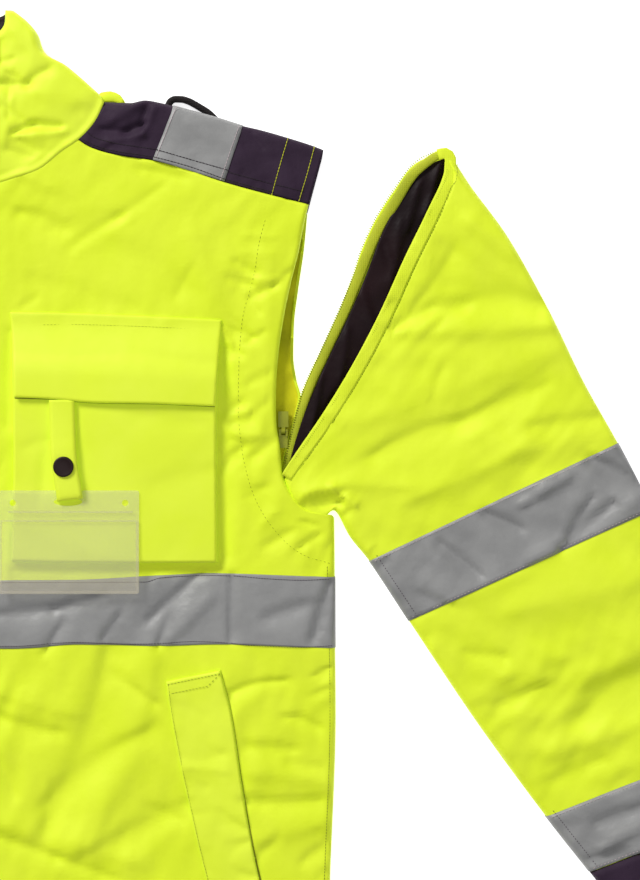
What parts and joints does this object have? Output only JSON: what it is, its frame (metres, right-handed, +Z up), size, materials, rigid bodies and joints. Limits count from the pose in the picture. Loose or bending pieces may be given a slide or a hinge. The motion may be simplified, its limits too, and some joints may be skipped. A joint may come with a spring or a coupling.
{
  "type": "hi-vis work jacket",
  "caption": "Padded high-visibility work jacket laid flat, left sleeve zipped off and swung out, with reflective tapes, chest pocket, card holder and slanted hand pockets.",
  "frame": {"origin": "centre line at underarm level, on the flat underside of the back panel", "axes": "+Z up out of the front, +Y towards the collar, +X towards the wearer's left"},
  "size_m": [1.292, 0.827, 0.024],
  "materials": {
    "yellow_cloth": "fluorescent yellow coated polyester, fine weave",
    "dark_cloth": "aubergine black coated polyester",
    "lining": "dark satin lining",
    "reflective_tape": "grey retroreflective tape",
    "zip_tape": "yellow coil zip tape",
    "clear_vinyl": "clear vinyl",
    "hardware": "dark satin enamel",
    "elastic_cord": "black braided elastic"
  },
  "bodies": {
    "jacket": {"back_panel": "yellow_cloth", "back_yoke": "dark_cloth", "badge_holder": "clear_vinyl", "badge_strap": "yellow_cloth", "chest_pocket": "yellow_cloth", "chest_pocket_flap": "yellow_cloth", "collar": "yellow_cloth", "collar_lining": "lining", "cord_loop": "elastic_cord", "cuff_left": "dark_cloth", "cuff_right": "dark_cloth", "front_flap": "yellow_cloth", "front_left": "yellow_cloth", "front_right": "yellow_cloth", "front_zip": "zip_tape", "hand_pocket_left": "yellow_cloth", "hand_pocket_right": "yellow_cloth", "shoulder_patch_left": "reflective_tape", "shoulder_patch_right": "reflective_tape", "sleeve_left_back": "yellow_cloth", "sleeve_left_band_lower": "reflective_tape", "sleeve_left_band_upper": "reflective_tape", "sleeve_left_front": "yellow_cloth", "sleeve_left_lining": "lining", "sleeve_left_zip_back": "zip_tape", "sleeve_left_zip_front": "zip_tape", "sleeve_right_back": "yellow_cloth", "sleeve_right_band_lower": "reflective_tape", "sleeve_right_band_upper": "reflective_tape", "sleeve_right_front": "yellow_cloth", "snap": "hardware", "torso_band_back": "reflective_tape", "torso_band_front_left": "reflective_tape", "torso_band_front_right": "reflective_tape", "yoke_left": "dark_cloth", "yoke_right": "dark_cloth", "zip_slider": "hardware"},
    "zip_pull": {"zip_pull": "hardware"}
  },
  "joints": [
    {"name": "zip_pull_hinge", "type": "hinge", "parent": "jacket", "child": "zip_pull", "pos_m": [0.2366, 0.0563, 0.00595], "axis": [1, 0, 0], "range_deg": [0, 110]}
  ]
}
